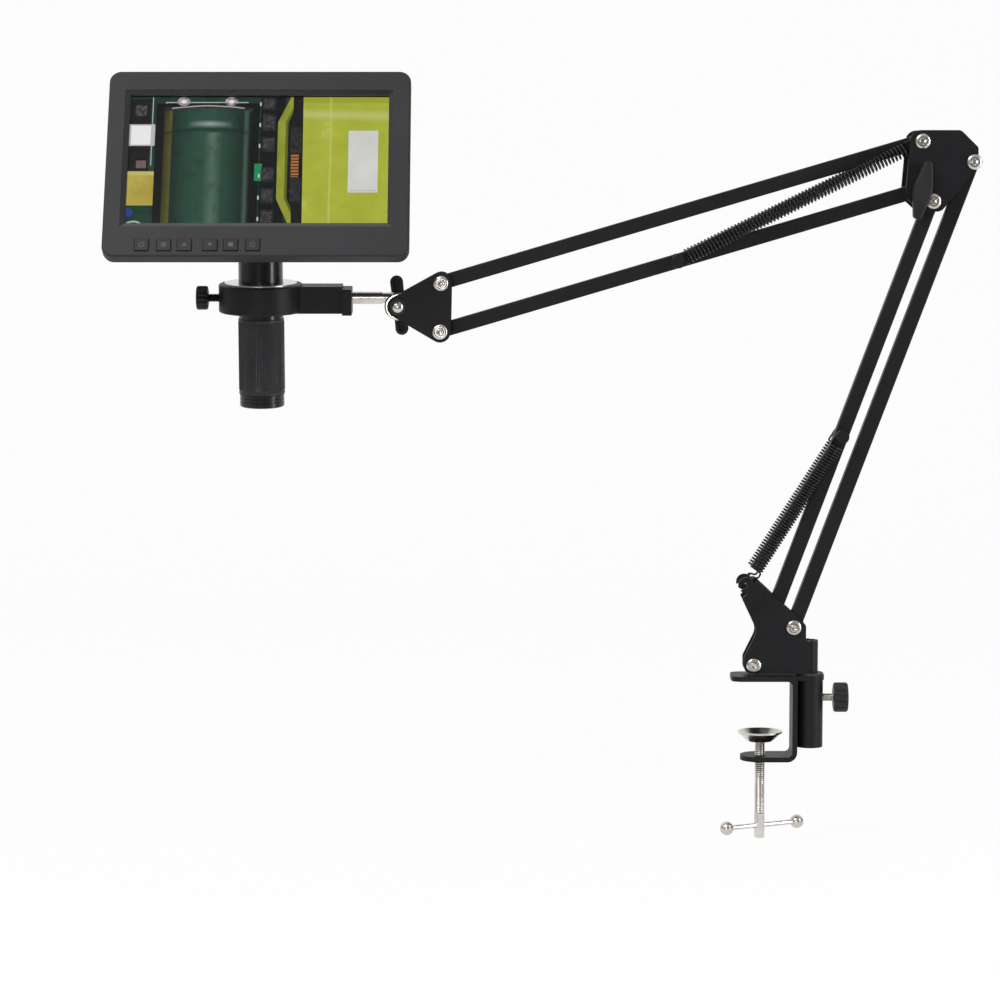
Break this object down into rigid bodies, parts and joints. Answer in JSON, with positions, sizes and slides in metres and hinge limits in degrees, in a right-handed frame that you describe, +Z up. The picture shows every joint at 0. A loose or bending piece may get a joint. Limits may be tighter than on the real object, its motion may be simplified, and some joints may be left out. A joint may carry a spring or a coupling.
{
  "type": "lcd digital microscope",
  "caption": "Display microscope with a tilted screen and ribbed focus grip, held in a ring on a two-section spring-balanced boom with a desk clamp.",
  "frame": {"origin": "underside of the clamp's top jaw, above the clamp screw's axis", "axes": "+X along the boom from the microscope to the elbow, +Y away from the front, +Z up"},
  "size_m": [0.5191, 0.0753, 0.4621],
  "materials": {
    "black_paint": "satin powder coat",
    "black_casting": "satin black coat",
    "nickel": "polished nickel plate",
    "black_plastic": "fine moulded grain",
    "nylon": "matte",
    "spring_steel": "black oiled wire",
    "black_screw": "blackened thread",
    "satin_aluminium": "satin turned",
    "gloss_black": "gloss anodised look",
    "grip_black": "fine ribs",
    "lens_black": "matte",
    "lens_glass": "coated",
    "case_plastic": "fine spark-eroded grain",
    "screen_glass": "clear",
    "lcd": "lit picture",
    "circuit_board": "solder mask"
  },
  "bodies": {
    "clamp": {"clamp_frame": "black_paint", "clamp_socket": "black_paint"},
    "clamp_pad": {"clamp_pad": "nickel"},
    "clamp_screw": {"clamp_screw": "nickel"},
    "tommy_bar": {"tommy_bar": "nickel"},
    "base_lock_screw": {"base_lock_screw": "nickel"},
    "base_lock_knob": {"base_lock_knob": "black_plastic"},
    "base": {"post": "black_paint", "base_cheek_front": "black_paint", "base_cheek_rear": "black_paint", "base_fasteners": "nickel", "base_washers": "nylon"},
    "lower_arm": {"lower_main_tube": "black_paint"},
    "lower_link": {"lower_link_tube": "black_paint", "lower_spring_bolt": "black_paint"},
    "lower_springs": {"lower_spring_front": "spring_steel", "lower_spring_rear": "spring_steel"},
    "lower_spring_eyes": {"lower_spring_eyes": "spring_steel"},
    "elbow": {"elbow_plate_front": "black_paint", "elbow_plate_rear": "black_paint", "elbow_fasteners": "nickel", "elbow_sleeves": "nylon"},
    "elbow_knob": {"elbow_wing_knob": "black_plastic"},
    "upper_arm": {"upper_main_tube": "black_paint"},
    "upper_link": {"upper_link_tube": "black_paint", "upper_spring_bolt": "black_paint"},
    "upper_springs": {"upper_spring_front": "spring_steel", "upper_spring_rear": "spring_steel"},
    "upper_spring_eyes": {"upper_spring_eyes": "spring_steel"},
    "boom_end": {"end_plate_front": "black_paint", "end_plate_rear": "black_paint", "end_fasteners": "nickel", "end_sleeves": "nylon"},
    "end_nut": {"end_wing_nut": "black_plastic"},
    "knuckle": {"knuckle": "nickel"},
    "holder": {"ring_holder": "black_casting"},
    "ring_lock_screw": {"ring_lock_screw": "black_screw"},
    "ring_lock_knob": {"ring_lock_knob": "black_plastic"},
    "adapter": {"adapter_ring": "satin_aluminium"},
    "microscope": {"scope_barrel": "gloss_black", "tip_ring": "gloss_black", "led_ring": "circuit_board", "front_bezel": "case_plastic", "screen_glass": "screen_glass", "lcd_panel": "lcd", "key_board": "circuit_board", "main_board": "circuit_board", "back_cover": "case_plastic", "power_socket": "case_plastic", "case_screws": "black_plastic", "sensor_board": "circuit_board"},
    "focus_grip": {"focus_grip": "grip_black"},
    "lens_cell": {"lens_cell": "lens_black", "objective_lens": "lens_glass"},
    "button_1": {"button_1": "case_plastic"},
    "button_2": {"button_2": "case_plastic"},
    "button_3": {"button_3": "case_plastic"},
    "button_4": {"button_4": "case_plastic"},
    "button_5": {"button_5": "case_plastic"},
    "button_6": {"button_6": "case_plastic"}
  },
  "joints": [
    {"name": "base_swivel", "type": "hinge", "parent": "clamp", "child": "base", "pos_m": [0.0298, 0, 0], "axis": [0, 0, 1], "continuous": true},
    {"name": "base_lock_turn", "type": "hinge", "parent": "base_lock_screw", "child": "base_lock_knob", "pos_m": [0.0298, 0, -0.011], "axis": [1, 0, 0], "range_deg": [0, 540]},
    {"name": "base_lock_travel", "type": "slide", "parent": "clamp", "child": "base_lock_screw", "axis": [1, 0, 0], "range_m": [0, 0.0015]},
    {"name": "clamp_screw_turn", "type": "hinge", "parent": "clamp_pad", "child": "clamp_screw", "pos_m": [0, 0, 0], "axis": [0, 0, 1], "range_deg": [-2160, 8784]},
    {"name": "clamp_pad_travel", "type": "slide", "parent": "clamp", "child": "clamp_pad", "axis": [0, 0, 1], "range_m": [-0.0076, 0.0306]},
    {"name": "tommy_bar_slide", "type": "slide", "parent": "clamp_screw", "child": "tommy_bar", "axis": [0.8886, 0.4586, 0], "range_m": [-0.0185, 0.0148]},
    {"name": "lower_arm_lean", "type": "hinge", "parent": "base", "child": "lower_arm", "pos_m": [0.0195, 0, 0.0323], "axis": [0, 1, 0], "range_deg": [-34, 8]},
    {"name": "lower_link_lean", "type": "hinge", "parent": "base", "child": "lower_link", "pos_m": [-0.0045, 0, 0.0091], "axis": [0, 1, 0], "range_deg": [-35, 9]},
    {"name": "elbow_level", "type": "hinge", "parent": "lower_arm", "child": "elbow", "pos_m": [0.12386, 0, 0.31143], "axis": [0, 1, 0], "range_deg": [-9, 35]},
    {"name": "upper_arm_lift", "type": "hinge", "parent": "elbow", "child": "upper_arm", "pos_m": [0.09316, 0, 0.32363], "axis": [0, 1, 0], "range_deg": [-30, 38]},
    {"name": "upper_link_lift", "type": "hinge", "parent": "elbow", "child": "upper_link", "pos_m": [0.09256, 0, 0.29483], "axis": [0, 1, 0], "range_deg": [-31, 39]},
    {"name": "boom_end_level", "type": "hinge", "parent": "upper_arm", "child": "boom_end", "pos_m": [-0.19271, 0, 0.23949], "axis": [0, 1, 0], "range_deg": [-39, 31]},
    {"name": "lower_spring_swing", "type": "hinge", "parent": "base", "child": "lower_springs", "pos_m": [-0.0096, 0, 0.0583], "axis": [0, 1, 0], "range_deg": [-49.96, 12.52]},
    {"name": "lower_spring_stretch", "type": "slide", "parent": "lower_springs", "child": "lower_spring_eyes", "axis": [0.537, 0, 0.8436], "range_m": [-0.01, 0.00273], "deforming": ["lower_spring_front", "lower_spring_rear", "lower_spring_eyes"]},
    {"name": "upper_spring_swing", "type": "hinge", "parent": "elbow", "child": "upper_springs", "pos_m": [0.09316, 0, 0.32363], "axis": [0, 1, 0], "range_deg": [-28.9, 36.34]},
    {"name": "upper_spring_stretch", "type": "slide", "parent": "upper_springs", "child": "upper_spring_eyes", "axis": [-0.8971, 0, -0.4418], "range_m": [-0.01741, 0.01385], "deforming": ["upper_spring_front", "upper_spring_rear", "upper_spring_eyes"]},
    {"name": "elbow_knob_turn", "type": "hinge", "parent": "elbow", "child": "elbow_knob", "pos_m": [0.09256, 0, 0.29483], "axis": [0, 1, 0], "range_deg": [-90, 90]},
    {"name": "end_nut_turn", "type": "hinge", "parent": "boom_end", "child": "end_nut", "pos_m": [-0.21831, 0, 0.22539], "axis": [0, 1, 0], "range_deg": [-90, 90]},
    {"name": "head_tilt", "type": "hinge", "parent": "boom_end", "child": "knuckle", "pos_m": [-0.21831, 0, 0.22539], "axis": [0, 1, 0], "range_deg": [-45, 10]},
    {"name": "holder_roll", "type": "hinge", "parent": "knuckle", "child": "holder", "pos_m": [-0.30061, 0, 0.23049], "axis": [1, 0, 0], "range_deg": [-25, 25]},
    {"name": "ring_lock_turn", "type": "hinge", "parent": "ring_lock_screw", "child": "ring_lock_knob", "pos_m": [-0.30061, 0, 0.23049], "axis": [-1, 0, 0], "range_deg": [0, 540]},
    {"name": "ring_lock_travel", "type": "slide", "parent": "holder", "child": "ring_lock_screw", "axis": [-1, 0, 0], "range_m": [0, 0.0015]},
    {"name": "head_turn", "type": "hinge", "parent": "holder", "child": "adapter", "pos_m": [-0.30061, 0, 0.23049], "axis": [0, -0.0872, 0.9962], "range_deg": [-90, 90]},
    {"name": "head_lift", "type": "slide", "parent": "adapter", "child": "microscope", "axis": [0, -0.0872, 0.9962], "range_m": [-0.008, 0.0035]},
    {"name": "focus_turn", "type": "hinge", "parent": "microscope", "child": "focus_grip", "pos_m": [-0.30061, 0, 0.23049], "axis": [0, -0.0872, 0.9962], "range_deg": [-150, 150]},
    {"name": "focus_travel", "type": "slide", "parent": "microscope", "child": "lens_cell", "axis": [0, -0.0872, 0.9962], "range_m": [-0.00305, 0.00305]},
    {"name": "button_1_press", "type": "slide", "parent": "microscope", "child": "button_1", "axis": [0, 0.8746, -0.4848], "range_m": [0, 0.0006], "stiffness_N_per_m": 600, "springref_m": -0.0008},
    {"name": "button_2_press", "type": "slide", "parent": "microscope", "child": "button_2", "axis": [0, 0.8746, -0.4848], "range_m": [0, 0.0006], "stiffness_N_per_m": 600, "springref_m": -0.0008},
    {"name": "button_3_press", "type": "slide", "parent": "microscope", "child": "button_3", "axis": [0, 0.8746, -0.4848], "range_m": [0, 0.0006], "stiffness_N_per_m": 600, "springref_m": -0.0008},
    {"name": "button_4_press", "type": "slide", "parent": "microscope", "child": "button_4", "axis": [0, 0.8746, -0.4848], "range_m": [0, 0.0006], "stiffness_N_per_m": 600, "springref_m": -0.0008},
    {"name": "button_5_press", "type": "slide", "parent": "microscope", "child": "button_5", "axis": [0, 0.8746, -0.4848], "range_m": [0, 0.0006], "stiffness_N_per_m": 600, "springref_m": -0.0008},
    {"name": "button_6_press", "type": "slide", "parent": "microscope", "child": "button_6", "axis": [0, 0.8746, -0.4848], "range_m": [0, 0.0006], "stiffness_N_per_m": 600, "springref_m": -0.0008}
  ],
  "couplings": [
    {"joint": "base_lock_travel", "follows": "base_lock_turn", "m_per_rad": 0.00012732},
    {"joint": "ring_lock_travel", "follows": "ring_lock_turn", "m_per_rad": 0.00012732},
    {"joint": "clamp_pad_travel", "follows": "clamp_screw_turn", "m_per_rad": 0.00019894},
    {"joint": "lower_link_lean", "follows": "lower_arm_lean", "ratio": 1},
    {"joint": "elbow_level", "follows": "lower_arm_lean", "ratio": -1},
    {"joint": "lower_spring_swing", "follows": "lower_arm_lean", "ratio": 1.44},
    {"joint": "lower_spring_stretch", "follows": "lower_arm_lean", "m_per_rad": 0.016},
    {"joint": "upper_link_lift", "follows": "upper_arm_lift", "ratio": 1},
    {"joint": "boom_end_level", "follows": "upper_arm_lift", "ratio": -1},
    {"joint": "upper_spring_swing", "follows": "upper_arm_lift", "ratio": 0.93},
    {"joint": "upper_spring_stretch", "follows": "upper_arm_lift", "m_per_rad": -0.0255},
    {"joint": "focus_travel", "follows": "focus_turn", "m_per_rad": 0.0011459}
  ]
}
